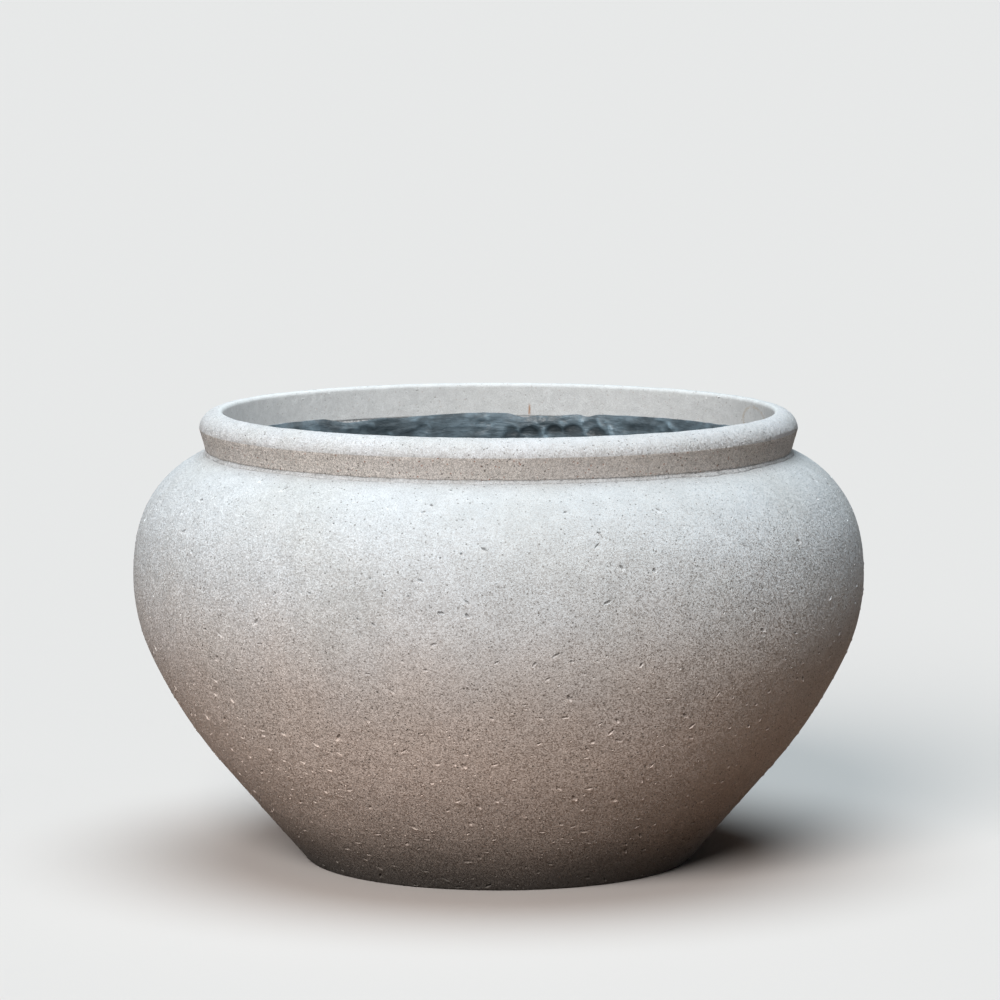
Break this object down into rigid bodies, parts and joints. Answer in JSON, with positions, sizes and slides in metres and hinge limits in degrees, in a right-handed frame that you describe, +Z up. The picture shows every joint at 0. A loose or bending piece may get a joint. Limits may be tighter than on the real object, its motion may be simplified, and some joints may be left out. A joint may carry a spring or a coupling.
{
  "type": "vase planter",
  "caption": "Low round cast-stone vase planter with a wide belly, a narrow foot, a separate rounded lip collar, a black waterproof lining and lift-out drain plugs.",
  "frame": {"origin": "centre of the foot, on the surface that the planter stands on", "axes": "+Z up along the axis that the bowl was turned about, -Y towards the viewer of the picture, +X to the viewer's right"},
  "size_m": [0.8997, 0.8998, 0.555],
  "materials": {
    "cast_stone": "matte",
    "collar_stone": "matte",
    "mortar": "matte",
    "lining_coat": "satin",
    "sleeve_plastic": "matte",
    "plug_rubber": "matte"
  },
  "bodies": {
    "planter": {"bowl_shell": "cast_stone", "rim_collar": "collar_stone", "collar_bedding": "mortar", "inner_lining": "lining_coat", "drain_sleeve_front": "sleeve_plastic", "drain_sleeve_right": "sleeve_plastic", "drain_sleeve_left": "sleeve_plastic"},
    "plug_front": {"drain_plug_front": "plug_rubber"},
    "plug_right": {"drain_plug_right": "plug_rubber"},
    "plug_left": {"drain_plug_left": "plug_rubber"}
  },
  "joints": [
    {"name": "plug_front_lift", "type": "slide", "parent": "planter", "child": "plug_front", "axis": [0, 0, 1], "range_m": [0, 0.6]},
    {"name": "plug_right_lift", "type": "slide", "parent": "planter", "child": "plug_right", "axis": [0, 0, 1], "range_m": [0, 0.6]},
    {"name": "plug_left_lift", "type": "slide", "parent": "planter", "child": "plug_left", "axis": [0, 0, 1], "range_m": [0, 0.6]}
  ]
}
